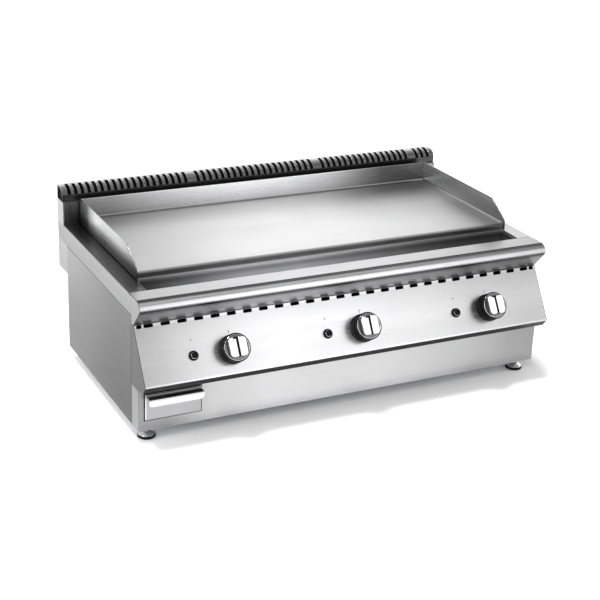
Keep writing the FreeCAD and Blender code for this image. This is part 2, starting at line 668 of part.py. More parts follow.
inlet = turned("inlet_turn", [(8, -1.5), (10.5, -1.5), (10.5, 1.5), (16, 1.5), (16, 8), (12, 9.5), (10.5, 9.5), (10.5, 29.5),
                              (9.6, 30.5), (8, 30.5)])
place(inlet, D("inlet_x"), D("back_y") - T, D("rail_z"), AXES["y"])
node(inlet, "gas_inlet")

# ---------------------------------------------------------------- valves, knobs, igniters
bezels, tubes, nuts, sparkers = [], [], [], []
m_in = V(0, math.sin(TILT), -math.cos(TILT))
up = V(0, math.cos(TILT), math.sin(TILT))
for i, x in enumerate(KNOBS):
    n = i + 1
    row = D("knob_row")
    bezel = turned("bezel_%d" % n, [(28.6, 0), (32, 0), (32, 3), (30.6, 13), (29.8, 14), (28.9, 13)])
    on_panel(bezel, x, row)
    bezels.append(bezel)

    valve = fuse("valve_raw_%d" % n, [
        on_panel(_b, x - dx, row + dy, dz) for _b, dx, dy, dz in [
            (doc.addObject("Part::Box", "valve_block_%d" % n), 15, 15, -46),
            (doc.addObject("Part::Box", "valve_foot_%d" % n), 21, 13, -4),
            (doc.addObject("Part::Box", "valve_leg_%d" % n), 7, 24, -38),
        ]
    ])
    blk, foot_b, leg_b = valve.Shapes
    blk.Length, blk.Width, blk.Height = 30, 30, 42
    foot_b.Length, foot_b.Width, foot_b.Height = 42, 26, 2.5
    leg_b.Length, leg_b.Width, leg_b.Height = 14, 10, 16
    bore_a = doc.addObject("Part::Cylinder", "plug_bore_%d" % n)
    bore_a.Radius, bore_a.Height = 8.05, 42
    on_panel(bore_a, x, row, -38)
    saddle = cyl("saddle_%d" % n, D("pipe_rad"), 60, x - 30, D("rail_y"), D("rail_z"), "x")
    node(cut("gas_valve_%d" % n, valve, fuse("valve_cuts_%d" % n, [bore_a, saddle])), "gas_valve_%d" % n)

    plug_b = turned("plug_%d" % n, [(4.05, 0), (8, 0), (8, 34), (4.05, 34)])
    on_panel(plug_b, x, row, -37.5)
    node(plug_b, "valve_plug_%d" % n)
    stem = turned("stem_%d" % n, [(0, 0), (4, 0), (4, 61), (0, 61)])
    on_panel(stem, x, row, -29)
    node(stem, "valve_stem_%d" % n)

    knob = doc.addObject("PartDesign::Body", "knob_body_%d" % n)
    sk = polygon_sketch(knob, "knob_sketch_%d" % n, [
        (4, 10), (9, 10), (9, 22), (25, 22), (25, 6), (27.6, 6), (27.6, 18.5), (29.9, 21.5), (36, 28.2), (37.5, 30),
        (37.5, 35.6), (36.7, 36.8), (35.1, 37), (34.2, 35.2), (0, 35.2), (0, 32), (4, 32)], "XZ_Plane")
    rev = knob.newObject("PartDesign::Revolution", "knob_turn_%d" % n)
    rev.Profile = sk
    rev.ReferenceAxis = (sk, ["V_Axis"])
    rev.Angle = 360
    doc.recompute()
    grip_sk = polygon_sketch(knob, "grip_sketch_%d" % n, [
        (-23, 35), (23, 35), (22.4, 45), (20.5, 47.6), (17, 48.5), (2.5, 48.5), (2.5, 45), (-2.5, 45), (-2.5, 48.5),
        (-17, 48.5), (-20.5, 47.6), (-22.4, 45)], "XZ_Plane")
    grip = knob.newObject("PartDesign::Pad", "grip_pad_%d" % n)
    grip.Profile = grip_sk
    grip.Length = 49
    if hasattr(grip, "SideType"):
        grip.SideType = "Symmetric"
    else:
        grip.Midplane = True
    knob.Tip = grip
    on_panel(knob, x, row)
    node(knob, "knob_%d" % n)

    # supply tube from the valve's inner end to the injector holder
    base = V(x.v, VV["panel_y"] - VV["knob_row"] * math.cos(TILT), VV["panel_z"] - VV["knob_row"] * math.sin(TILT))
    start = base + m_in * 46
    holder_end = V(x.v, VV["plate_front"] - 12, VV["burner_z"])
    tube = pipe([start, start + m_in * 34, V(x.v, holder_end.y - 34, holder_end.z - 70),
                 V(x.v, holder_end.y - 34, holder_end.z), holder_end], 4, 3, 14)
    tubes.append(placed_shape("supply_tube_%d" % n, tube))

    nut = turned("igniter_nut_%d" % n, [(8.1, 0), (13, 0), (13, 2), (12, 5.2), (10.6, 6), (8.1, 6)])
    on_panel(nut, x - D("igniter_off"), D("igniter_row"))
    nuts.append(nut)
    sparker = turned("sparker_%d" % n, [(0, -42), (8, -42), (10.5, -38), (10.5, -1.5), (8.1, -1.5), (8.1, -22),
                                        (0, -22)])
    on_panel(sparker, x - D("igniter_off"), D("igniter_row"))
    sparkers.append(sparker)
    button = turned("button_%d" % n, [(0, -14), (8, -14), (8, 12), (7.4, 13.6), (6.2, 14.4), (2.5, 15), (0, 15)])
    on_panel(button, x - D("igniter_off"), D("igniter_row"))
    node(button, "igniter_button_%d" % n)
node(group("knob_bezels", bezels), "knob_bezels")
node(group("supply_tubes", tubes), "supply_tubes")
node(group("igniter_nuts", nuts), "igniter_nuts")
node(group("igniter_bodies", sparkers), "igniter_bodies")

# ---------------------------------------------------------------- check and write
doc.recompute()
faults = []
for o in doc.Objects:
    if any(s in ("Invalid", "Error") for s in o.State):
        faults.append("%s is %s" % (o.Name, o.State))
names = [name for name, o in nodes]
if len(set(names)) != len(names):
    faults.append("two nodes share a name")
for name, o in nodes:
    shape = o.Shape
    if shape.isNull() or not shape.isValid() or not shape.Solids:
        faults.append("%s has no valid shape" % name)
if faults:
    raise RuntimeError("; ".join(faults))

os.makedirs("parts", exist_ok=True)
for old in os.listdir("parts"):
    if old.endswith(".step") and old[:-5] not in names:
        os.remove(os.path.join("parts", old))
whole = FreeCAD.BoundBox()
for name, o in nodes:
    o.Shape.exportStep("parts/%s.step" % name)
    whole.add(o.Shape.optimalBoundingBox(True, False))
print("%d nodes, box %.3f..%.3f  %.3f..%.3f  %.3f..%.3f" % (
    len(nodes), whole.XMin, whole.XMax, whole.YMin, whole.YMax, whole.ZMin, whole.ZMax))
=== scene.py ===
import bpy
import bmesh
import math
from mathutils import Matrix, Vector


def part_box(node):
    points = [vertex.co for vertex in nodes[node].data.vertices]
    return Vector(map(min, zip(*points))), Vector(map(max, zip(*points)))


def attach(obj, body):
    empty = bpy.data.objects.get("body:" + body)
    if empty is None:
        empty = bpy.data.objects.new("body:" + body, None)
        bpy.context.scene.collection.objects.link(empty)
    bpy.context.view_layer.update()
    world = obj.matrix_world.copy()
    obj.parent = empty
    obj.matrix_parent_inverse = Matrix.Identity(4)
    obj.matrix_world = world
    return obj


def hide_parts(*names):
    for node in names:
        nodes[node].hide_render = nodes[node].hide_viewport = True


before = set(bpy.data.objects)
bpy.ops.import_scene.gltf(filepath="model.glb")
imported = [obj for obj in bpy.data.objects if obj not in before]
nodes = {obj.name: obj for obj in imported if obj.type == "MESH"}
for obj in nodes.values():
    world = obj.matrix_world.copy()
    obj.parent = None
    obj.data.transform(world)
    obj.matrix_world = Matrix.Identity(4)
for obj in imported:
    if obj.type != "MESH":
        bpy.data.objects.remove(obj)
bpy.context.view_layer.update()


MM = 0.001
scene = bpy.context.scene

# ------------------------------------------------------------------ camera
AZ, EL, ROLL = -0.473772, 0.389158, 0.0426065
back = Vector((math.sin(AZ) * math.cos(EL), -math.cos(AZ) * math.cos(EL), math.sin(EL)))
right = Vector((math.cos(AZ), math.sin(AZ), 0))
up = back.cross(right)
r2 = right * math.cos(ROLL) + up * math.sin(ROLL)
u2 = up * math.cos(ROLL) - right * math.sin(ROLL)
cam_data = bpy.data.cameras.new("camera")
cam_data.sensor_width = 36
cam_data.lens = 82.766
cam_data.clip_end = 200
cam = bpy.data.objects.new("camera", cam_data)
scene.collection.objects.link(cam)
m = Matrix((r2, u2, back)).transposed().to_4x4()
m.translation = Vector((-1.65793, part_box("griddle_plate")[0].y + 0.197 - 3.256686, 1.67890))
cam.matrix_world = m
scene.camera = cam
scene.view_settings.view_transform = "Standard"

# ------------------------------------------------------------------ measures, some read from the CAD boxes
lo_plate, hi_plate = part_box("griddle_plate")
SH = lo_plate.y + 0.197          # depth shift of the row frame
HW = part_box("worktop_frame")[1].x / MM
TOPZ = 390.0
SKIRT = 338.0
T, TT = 1.5, 2.0
STRIP, OPENY, SIDEY = -321.0, -266.0, -284.0
RISER_Y, REAR_Y = 266.0, 318.0
RISER_Z, GRILLE_Z = 455.0, 495.0
PX, PF, PR = hi_plate.x / MM, -197.0, 249.0
PT = hi_plate.z / MM
GUARD_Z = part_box("splash_guard_rear")[1].z / MM
PANEL_Y, PANEL_Z, PANEL_L = -301.0, 307.0, 151.5
TILT = math.radians(57.66)
CT, ST = math.cos(TILT), math.sin(TILT)
APRON_Y, APRON_Z, BASE_Z = -330.0, 150.0, 35.0
KNOBS = [(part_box("knob_%d" % n)[0].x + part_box("knob_%d" % n)[1].x) / 2 / MM for n in (1, 2, 3)]
ROW, IGN_OFF, IGN_ROW = 90.5, 105.0, 90.0
DL, DR, DB, DT = -581.0, -429.0, 63.0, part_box("drawer_front")[1].z / MM
OLD = SH - 0.047141               # depth positions of the painted light-and-shade ramps follow the row


def P(x, y, z):
    return Vector((x * MM, y * MM + SH, z * MM))


def on_panel(x, s, h=0.0):
    """Local frame on the control panel: X across, Y up the slope, Z off its face, in millimetres."""
    rot = Matrix(((1, 0, 0), (0, CT, -ST), (0, ST, CT))).to_4x4()
    o = P(x, PANEL_Y - s * CT - h * ST, PANEL_Z - s * ST + h * CT)
    return Matrix.Translation(o) @ rot @ Matrix.Scale(MM, 4)


def upright(x, y, z=0.0):
    return Matrix.Translation(P(x, y, z)) @ Matrix.Scale(MM, 4)


# ------------------------------------------------------------------ materials
def new_mat(name):
    mat = bpy.data.materials.new(name)
    mat.use_nodes = True
    nt = mat.node_tree
    return mat, nt, nt.nodes["Principled BSDF"]


def link(nt, a, b):
    nt.links.new(a, b)


def noise(nt, coord, scale, stretch=(1, 1, 1), detail=2.0):
    mp = nt.nodes.new("ShaderNodeMapping")
    mp.inputs["Scale"].default_value = stretch
    link(nt, coord, mp.inputs["Vector"])
    tx = nt.nodes.new("ShaderNodeTexNoise")
    tx.inputs["Scale"].default_value = scale
    tx.inputs["Detail"].default_value = detail
    link(nt, mp.outputs["Vector"], tx.inputs["Vector"])
    return tx.outputs["Fac"]


def remap(nt, val, a, b, c, d):
    mr = nt.nodes.new("ShaderNodeMapRange")
    for i, v in enumerate((a, b, c, d)):
        mr.inputs[i + 1].default_value = v
    link(nt, val, mr.inputs[0])
    return mr.outputs[0]


def times(nt, a, b):
    mt = nt.nodes.new("ShaderNodeMath")
    mt.operation = "MULTIPLY"
    link(nt, a, mt.inputs[0])
    link(nt, b, mt.inputs[1])
    return mt.outputs[0]


def ramp(nt, val, lo, hi, stops):
    """Value along a position, used for the painted light and shade on the steels and for the sky: stops are (position,
    value) between lo and hi.
    """
    f = remap(nt, val, lo, hi, 0.0, 1.0)
    cr = nt.nodes.new("ShaderNodeValToRGB")
    el = cr.color_ramp.elements
    while len(el) > 1:
        el.remove(el[-1])
    for i, (p, v) in enumerate(stops):
        e = el[0] if i == 0 else el.new((p - lo) / (hi - lo))
        e.position = (p - lo) / (hi - lo)
        e.color = (v, v, v, 1)
    link(nt, f, cr.inputs[0])
    return cr.outputs[0]


def steel(name, tone=(0.62, 0.62, 0.63), rough=0.3, grain="x", ramps=(), grain_amt=0.05, cloud=0.05, bump=0.08,
          metallic=1.0, aniso=0.35):
    mat, nt, bs = new_mat(name)
    # per-material painted light and shade: a gain that darkens or brightens the whole material
    tone = [c * PAINTED_LIGHT_GAIN.get(name, 1.0) for c in tone]
    tc = nt.nodes.new("ShaderNodeTexCoord").outputs["Object"]
    sep = nt.nodes.new("ShaderNodeSeparateXYZ")
    link(nt, tc, sep.inputs[0])
    stretch = {"x": (8, 900, 900), "y": (900, 8, 900), "z": (900, 900, 8), "o": (260, 260, 260)}[grain]
    fine = noise(nt, tc, 1.0, stretch, 3.0)
    broad = noise(nt, tc, 3.2, (1, 1, 1), 2.0)
    t = times(nt, remap(nt, fine, 0.3, 0.7, 1 - grain_amt, 1 + grain_amt),
              remap(nt, broad, 0.3, 0.7, 1 - cloud, 1 + cloud))
    # the position ramps multiply painted light and shade into the colour
    for axis, lo, hi, stops in ramps:
        if axis == "Y":
            lo, hi, stops = lo + OLD, hi + OLD, [(p + OLD, v) for p, v in stops]
        t = times(nt, t, ramp(nt, sep.outputs["XYZ".index(axis)], lo, hi, stops))
    sc = nt.nodes.new("ShaderNodeVectorMath")
    sc.operation = "SCALE"
    sc.inputs[0].default_value = tone
    link(nt, t, sc.inputs["Scale"])
    link(nt, sc.outputs[0], bs.inputs["Base Color"])
    link(nt, remap(nt, fine, 0.3, 0.7, rough - 0.05, rough + 0.06), bs.inputs["Roughness"])
    bs.inputs["Metallic"].default_value = metallic
    bs.inputs["Anisotropic"].default_value = aniso
    if bump:
        bp = nt.nodes.new("ShaderNodeBump")
        bp.inputs["Strength"].default_value = bump
        bp.inputs["Distance"].default_value = 0.0004
        link(nt, fine, bp.inputs["Height"])
        link(nt, bp.outputs[0], bs.inputs["Normal"])
    return mat


def moulded(name, colour=(0.012, 0.012, 0.013), rough=0.32, scale=900.0, bump=0.12, coat=0.0, spec=0.28):
    mat, nt, bs = new_mat(name)
    tc = nt.nodes.new("ShaderNodeTexCoord").outputs["Object"]
    n = noise(nt, tc, scale, (1, 1, 1), 2.0)
    sc = nt.nodes.new("ShaderNodeVectorMath")
    sc.operation = "SCALE"
    sc.inputs[0].default_value = colour
    link(nt, remap(nt, n, 0.3, 0.7, 0.85, 1.15), sc.inputs["Scale"])
    link(nt, sc.outputs[0], bs.inputs["Base Color"])
    link(nt, remap(nt, n, 0.3, 0.7, rough - 0.05, rough + 0.06), bs.inputs["Roughness"])
    bs.inputs["Coat Weight"].default_value = coat
    bs.inputs["Specular IOR Level"].default_value = spec
    bp = nt.nodes.new("ShaderNodeBump")
    bp.inputs["Strength"].default_value = bump
    bp.inputs["Distance"].default_value = 0.0002
    link(nt, n, bp.inputs["Height"])
    link(nt, bp.outputs[0], bs.inputs["Normal"])
    return mat


X0, X1 = -0.6, 0.6
M = {}
# painted light and shade: brightness gains per material, lower for shaded surfaces and higher for lit ones
PAINTED_LIGHT_GAIN = {"brushed_side_steel": 0.443, "brushed_apron_steel": 0.669, "brushed_panel_steel": 1.02, "ground_plate_steel": 1.047, "brushed_guard_steel": 1.439, "brushed_guard_left": 1.193, "brushed_guard_right": 1.9, "brushed_worktop_steel": 0.999, "brushed_skirt_steel": 1.353, "grille_steel": 0.664, "flue_riser_steel": 1.9, "trough_steel": 1.9, "flue_casing_steel": 0.629, "brushed_drawer_steel": 0.636, "drawer_pull_steel": 0.803, "brushed_cheek_steel": 0.443}
ZT = 0.39
# front edge of the side panels, where the painted shadow-gap bands and the painted highlight strip sit
SIDE_EDGE = SIDEY * MM + 0.047141
# painted light and shade on the side panels: darker towards the bottom and the front as a painted reflection of the
# floor, a painted highlight line and a painted shadow line at the worktop seam, and painted shadow-gap bands with a
# painted highlight strip along the front edge
M["steel_casing"] = steel("brushed_side_steel", (0.8, 0.8, 0.81), 0.33, "y", [
    ("Z", 0.03, 0.345, [(0.03, 0.47), (0.1, 0.49), (0.16, 0.58), (0.21, 0.7), (0.26, 0.87), (0.31, 1.0), (0.3325, 1.05),
                        (0.333, 1.6), (0.3345, 1.5), (0.3352, 0.12), (0.338, 0.12)]),
    ("Y", -0.25, 0.3, [(SIDE_EDGE + 0.0005, 0.05), (SIDE_EDGE + 0.0026, 0.06), (SIDE_EDGE + 0.0034, 0.42),
                       (SIDE_EDGE + 0.0056, 0.42), (SIDE_EDGE + 0.0064, 0.1), (SIDE_EDGE + 0.0086, 0.1), (SIDE_EDGE + 0.0096, 0.27),
                       (-0.19, 0.25), (-0.1, 0.27), (-0.02, 0.35), (0.07, 0.46), (0.15, 0.56), (0.28, 0.66)])])
# painted reflection on the worktop front roll: brighter in the middle and darker at the ends; on the nose a painted
# dark band, painted bright highlight bands and a painted dark band along the drip edge
M["steel_worktop"] = steel("brushed_worktop_steel", (0.85, 0.85, 0.86), 0.29, "x", [
    ("X", X0, X1, [(-0.6, 0.52), (-0.5, 0.6), (-0.36, 0.72), (-0.15, 0.78), (0.07, 0.71), (0.3, 0.6), (0.6, 0.45)]),
    ("Z", 0.31, 0.392, [(0.316, 0.5), (0.33, 0.43), (0.35, 0.4), (0.355, 0.24), (0.3585, 0.12), (0.362, 0.06),
                        (0.3655, 0.1), (0.369, 0.6), (0.372, 1.2), (0.3755, 1.35), (0.38, 1.2), (0.3845, 1.25),
                        (0.386, 0.8), (0.3869, 0.3), (0.3875, 0.17), (0.3889, 0.17), (0.3894, 0.5), (0.3897, 1.0)])])
# painted shade on the left worktop end and painted light on the right end: a shaded and a lit copy of the same skirt
# steel
M["worktop_side_left"] = steel("brushed_skirt_steel", (0.85, 0.85, 0.86), 0.28, "y", [
    ("Z", 0.33, 0.392, [(0.337, 0.17), (0.36, 0.18), (0.386, 0.2), (0.3878, 0.24), (0.3888, 0.12), (0.39, 0.085)])])
M["worktop_side_right"] = steel("brushed_skirt_steel_2", (0.85, 0.85, 0.86), 0.28, "y", [
    ("Z", 0.33, 0.392, [(0.337, 0.64), (0.36, 0.66), (0.386, 0.66), (0.3888, 0.58)])])
# painted light and shade on the control fascia: a painted reflection that is brighter in the middle, near-black painted
# shade on the bottom return and a painted highlight along the lower fold
M["steel_control_panel"] = steel("brushed_panel_steel", (0.85, 0.85, 0.86), 0.3, "x", [
    ("X", X0, X1, [(-0.6, 0.58), (-0.54, 0.66), (-0.42, 0.89), (-0.3, 1.0), (-0.18, 1.05), (-0.06, 1.01), (0.06, 0.91),
                   (0.18, 0.84), (0.3, 0.74), (0.42, 0.64), (0.54, 0.57)]),
    ("Z", 0.14, 0.32, [(0.14, 0.012), (0.1755, 0.015), (0.177, 1.15), (0.1805, 1.15), (0.183, 0.96), (0.21, 0.95),
                       (0.23, 1.02), (0.26, 1.05), (0.29, 0.96), (0.305, 0.9)])])
# painted shade: the cheeks are a darkened copy of the side steel, slightly lighter towards the top
M["cheek"] = steel("brushed_cheek_steel", (0.8, 0.8, 0.81), 0.33, "z", [
    ("Z", 0.14, 0.32, [(0.15, 0.15), (0.23, 0.16), (0.3, 0.21)])])
# painted light and shade on the lower front: a painted reflection that is brighter in the middle, a painted highlight
# along the bottom edge and painted shade under the control panel at the top
M["steel_apron"] = steel("brushed_apron_steel", (0.8, 0.8, 0.81), 0.33, "x", [
    ("X", X0, X1, [(-0.6, 0.44), (-0.52, 0.46), (-0.4, 0.86), (-0.23, 0.94), (-0.08, 0.96), (0.07, 0.91), (0.22, 0.83),
                   (0.37, 0.68), (0.52, 0.49), (0.6, 0.46)]),
    ("Z", 0.03, 0.155, [(0.035, 1.25), (0.0375, 1.25), (0.039, 0.9), (0.041, 1.0), (0.06, 1.05), (0.1, 1.0), (0.13, 0.97),
                        (0.147, 0.93), (0.1493, 0.3)])])
# painted shade: the drawer front is a darker copy of the front steel, a little darker at the top, with a painted
# highlight along its left edge and bottom edge
M["drawer_steel"] = steel("brushed_drawer_steel", (0.6, 0.6, 0.61), 0.33, "x", [
    ("X", -0.6, -0.42, [(-0.5812, 1.7), (-0.5785, 1.65), (-0.577, 0.88), (-0.53, 0.92), (-0.49, 0.97), (-0.4315, 0.95),
                        (-0.43, 0.95)]),
    ("Z", 0.055, 0.14, [(0.063, 1.1), (0.0648, 1.05), (0.066, 1.0), (0.1, 1.0), (0.131, 0.85)])])
# painted highlight: a near-white copy of the steel, brighter towards the top of the pull
M["pull_steel"] = steel("drawer_pull_steel", (0.9, 0.9, 0.9), 0.3, "x", [
    ("Z", 0.1, 0.14, [(0.109, 0.85), (0.111, 1.0), (0.123, 1.0), (0.127, 1.05), (0.1325, 1.1)])])
# painted shade: the flue casing is darker towards the bottom
M["duct_steel"] = steel("flue_casing_steel", (0.85, 0.85, 0.86), 0.3, "z", [
    ("Z", 0.25, 0.46, [(0.254, 0.48), (0.3, 0.52), (0.4, 0.62), (0.455, 0.64)])])
# painted shade: the flue riser front is a near-black copy of the steel, slightly lighter upward
M["riser_steel"] = steel("flue_riser_steel", (0.8, 0.8, 0.81), 0.3, "z", [
    ("Z", 0.37, 0.46, [(0.39, 0.075), (0.42, 0.11), (0.455, 0.15)])])
# painted light and shade on the grille: painted shade on the lower ribs and a painted highlight along their tops
M["steel_grille"] = steel("grille_steel", (0.85, 0.85, 0.86), 0.3, "x", [
    ("Z", 0.45, 0.5, [(0.455, 0.14), (0.473, 0.12), (0.48, 0.22), (0.487, 0.45), (0.4915, 0.8), (0.4945, 1.1)])])
# painted reflection on the plate: brighter in the middle, darker towards the ends and the back. The plate is also
# darker along its front edge.
M["griddle_steel"] = steel("ground_plate_steel", (0.86, 0.86, 0.865), 0.34, "x", [
    ("X", X0, X1, [(-0.56, 0.5), (-0.48, 0.56), (-0.34, 0.69), (-0.2, 0.81), (-0.03, 0.87), (0.1, 0.83), (0.2, 0.75),
                   (0.34, 0.66), (0.47, 0.5), (0.56, 0.42)]),
    ("Y", -0.16, 0.3, [(-0.15, 0.3), (-0.14, 0.35), (-0.137, 0.95), (-0.1, 1.0), (0.1, 1.02), (0.15, 0.94), (0.2, 0.72),
                       (0.26, 0.56), (0.296, 0.5)])], 0.03, 0.05, 0.05)
# painted light on the rear guard: a painted reflection that is brighter in the middle, with a painted highlight along
# the top edge
M["steel_guard"] = steel("brushed_guard_steel", (0.85, 0.85, 0.86), 0.28, "x", [
    ("X", X0, X1, [(-0.55, 0.26), (-0.47, 0.31), (-0.34, 0.5), (-0.2, 0.68), (-0.05, 0.78), (0.08, 0.77), (0.21, 0.6),
                   (0.33, 0.3), (0.4, 0.18), (0.55, 0.12)]),
    ("Z", 0.4, 0.47, [(0.41, 0.82), (0.43, 0.98), (0.45, 1.04), (0.4635, 1.12), (0.465, 1.5)])])
# painted light and shade on the side walls: lit and shaded copies of the guard steel. The left wall has a painted
# reflection along its length and painted shade towards the bottom. The right wall is a lit copy with a painted
# highlight along its top.
M["guard_left"] = steel("brushed_guard_left", (0.85, 0.85, 0.86), 0.28, "y", [
    ("Y", -0.16, 0.3, [(-0.15, 0.35), (-0.08, 0.75), (-0.02, 0.95), (0.1, 1.0), (0.17, 1.35), (0.215, 1.1), (0.24, 0.4),
                       (0.29, 0.35)]),
    ("Z", 0.38, 0.47, [(0.395, 0.1), (0.41, 0.18), (0.43, 0.34), (0.444, 0.5), (0.46, 0.45)])])
M["guard_right"] = steel("brushed_guard_right", (0.85, 0.85, 0.86), 0.28, "y", [
    ("Y", -0.16, 0.3, [(-0.15, 0.14), (-0.05, 0.17), (0.05, 0.22), (0.12, 0.32), (0.2, 0.52), (0.27, 0.78)]),
    ("Z", 0.4, 0.47, [(0.41, 0.95), (0.44, 1.0), (0.455, 1.2), (0.463, 1.5), (0.4648, 0.5)])])
# painted light on the trough: a painted reflection that is brighter in the middle, with painted highlights towards the
# top
M["steel_trough"] = steel("trough_steel", (0.85, 0.85, 0.86), 0.34, "x", [
    ("X", X0, X1, [(-0.55, 0.18), (-0.46, 0.24), (-0.28, 0.38), (-0.09, 0.42), (0.09, 0.34), (0.28, 0.24), (0.46, 0.16)]),
    ("Z", 0.345, 0.395, [(0.35, 1.2), (0.37, 1.1), (0.38, 0.7), (0.384, 0.8), (0.388, 1.3), (0.391, 1.9)])])
M["knob_chrome"] = steel("chromed_knob", (0.9, 0.9, 0.91), 0.13, "y", [], 0.03, 0.02, 0.03)
M["bright_chrome"] = steel("bright_chrome", (0.86, 0.86, 0.87), 0.12, "o", [], 0.02, 0.03, 0.02)
M["black_plastic"] = moulded("moulded_black", (0.003, 0.003, 0.0033), 0.48, spec=0.1)
M["foot_steel"] = steel("foot_steel", (0.62, 0.62, 0.63), 0.24, "o", [], 0.05, 0.04, 0.04)
M["brass"] = steel("turned_brass", (0.72, 0.52, 0.22), 0.3, "o")
M["insulation"] = moulded("mineral_board", (0.55, 0.52, 0.46), 0.95, 260.0, 0.8)
M["aluminium_tube"] = steel("drawn_aluminium", (0.78, 0.79, 0.8), 0.3, "y")
M["copper_probe"] = steel("copper", (0.74, 0.38, 0.25), 0.32, "o")
M["galvanised"] = steel("galvanised_sheet", (0.55, 0.56, 0.58), 0.45, "o", [], 0.06, 0.12, 0.1)
# painted shade: a near-black sheet material put inside the flue and behind the drawer where there is only shade
PAINTED_SHADE_LINER = moulded("painted_shade_liner", (0.006, 0.006, 0.006), 0.9, 300.0, 0.3)
RUBBER = moulded("black_rubber", (0.004, 0.004, 0.004), 0.62, 500.0, 0.3, spec=0.1)
DARK = steel("dark_turned_steel", (0.18, 0.18, 0.185), 0.35, "o")
# painted shade: a dark copy of the chrome for the knob face and the sides of the grip lobes
SHADE = steel("shaded_chrome", (0.16, 0.16, 0.165), 0.22, "o", [], 0.04, 0.3, 0.03)
MARK = moulded("printed_grey", (0.2, 0.2, 0.2), 0.6, 900.0, 0.05)
OWN = {"flue_duct": "duct_steel", "flue_riser_front": "riser_steel", "control_cheek_left": "cheek",
       "control_cheek_right": "cheek"}
for nm, o in nodes.items():
    for sl in o.material_slots:
        base = sl.material.name.split(".")[0] if sl.material else ""
        if nm in OWN:
            sl.material = M[OWN[nm]]
        elif base in M:
            sl.material = M[base]
        else:
            sl.material = M["steel_casing"]


# ------------------------------------------------------------------ mesh tools
def finish_mesh(name, me, body, mat, slot, stands_for=(), bevel=0.0, seg=3, angle=32, subsurf=0):
    me.validate()
    bm = bmesh.new()
    bm.from_mesh(me)
    bmesh.ops.recalc_face_normals(bm, faces=bm.faces)
    bm.to_mesh(me)
    bm.free()
    for p in me.polygons:
        p.use_smooth = True
    me.set_sharp_from_angle(angle=math.radians(angle))
    me.materials.append(mat)
    o = bpy.data.objects.new(name, me)
    scene.collection.objects.link(o)
    if bevel:
        b = o.modifiers.new("edges", "BEVEL")
        b.width = bevel * MM
        b.segments = seg
        b.limit_method = "ANGLE"
        b.angle_limit = math.radians(angle)
        b.harden_normals = True
    if subsurf:
        s = o.modifiers.new("smooth", "SUBSURF")
        s.levels = s.render_levels = subsurf
    if not subsurf:
        w = o.modifiers.new("normals", "WEIGHTED_NORMAL")
        w.keep_sharp = True
        w.weight = 100
    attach(o, body)
    if stands_for:
        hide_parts(*stands_for)
    return o


def from_parts(name, parts, *args, **kw):
    """parts: list of (verts, faces) joined into one mesh."""
    verts, faces = [], []
    for v, f in parts:
        k = len(verts)
        verts += [tuple(p) for p in v]
        faces += [tuple(i + k for i in q) for q in f]
    me = bpy.data.meshes.new(name)
    me.from_pydata(verts, [], faces)
    me.update()
    return finish_mesh(name, me, *args, **kw)


def prism(pts, a, b, axis="x"):
    """A closed outline pushed from a to b. axis x: points are (y, z); y: (x, z); z: (x, y)."""
    n = len(pts)
    v = []
    for t in (a, b):
        for p, q in pts:
            v.append(P(t, p, q) if axis == "x" else P(p, t, q) if axis == "y" else P(p, q, t))
    f = [tuple(range(n)), tuple(range(2 * n - 1, n - 1, -1))]
    for i in range(n):
        j = (i + 1) % n
        f.append((i, j, n + j, n + i))
    return v, f


def block(x, y, z):
    return prism([(y[0], z[0]), (y[1], z[0]), (y[1], z[1]), (y[0], z[1])], x[0], x[1])


def fillet(pts, radius, steps=5, closed=False):
    """Rounds the corners of a line of points."""
    n = len(pts)
    out = []
    for i in range(n):
        r = radius[i] if isinstance(radius, (list, tuple)) else radius
        if (not closed and i in (0, n - 1)) or not r:
            out.append(pts[i])
            continue
        p, a, b = Vector(pts[i]), Vector(pts[i - 1]), Vector(pts[(i + 1) % n])
        u, w = (a - p), (b - p)
        lu, lw = u.length, w.length
        u.normalize()
        w.normalize()
        ang = math.acos(max(-1, min(1, u.dot(w))))
        if ang > math.radians(176):
            out.append(pts[i])
            continue
        trim = min(r / math.tan(ang / 2), lu * 0.48, lw * 0.48)
        rr = trim * math.tan(ang / 2)
        bis = (u + w).normalized()
        c = p + bis * (rr / math.sin(ang / 2))
        s, e = p + u * trim - c, p + w * trim - c
        a0 = math.atan2(s.y, s.x)
        da = (math.atan2(e.y, e.x) - a0 + math.pi) % (2 * math.pi) - math.pi
        for k in range(steps + 1):
            t = a0 + da * k / steps
            out.append((c.x + rr * math.cos(t), c.y + rr * math.sin(t)))
    return out


def bent(path, metal, side=1):
    n = len(path)
    inner = []
    for i in range(n):
        ds = []
        if i > 0:
            ds.append((path[i][0] - path[i - 1][0], path[i][1] - path[i - 1][1]))
        if i < n - 1:
            ds.append((path[i + 1][0] - path[i][0], path[i + 1][1] - path[i][1]))
        ns = []
        for dx, dy in ds:
            L = math.hypot(dx, dy) or 1
            ns.append((-dy / L * side, dx / L * side))
        if len(ns) == 1:
            k = ns[0]
        else:
            d = 1 + ns[0][0] * ns[1][0] + ns[0][1] * ns[1][1]
            k = ((ns[0][0] + ns[1][0]) / d, (ns[0][1] + ns[1][1]) / d)
        inner.append((path[i][0] + k[0] * metal, path[i][1] + k[1] * metal))
    return list(path) + inner[::-1]


def spline(pts, steps=4):
    out = []
    n = len(pts)
    for i in range(n - 1):
        p0, p1, p2, p3 = (Vector(pts[max(i - 1, 0)]), Vector(pts[i]), Vector(pts[i + 1]), Vector(pts[min(i + 2, n - 1)]))
        for k in range(steps):
            t = k / steps
            q = 0.5 * ((2 * p1) + (p2 - p0) * t + (2 * p0 - 5 * p1 + 4 * p2 - p3) * t * t
                       + (3 * p1 - p0 - 3 * p2 + p3) * t ** 3)
            out.append((q.x, q.y))
    out.append(tuple(pts[-1]))
    return out


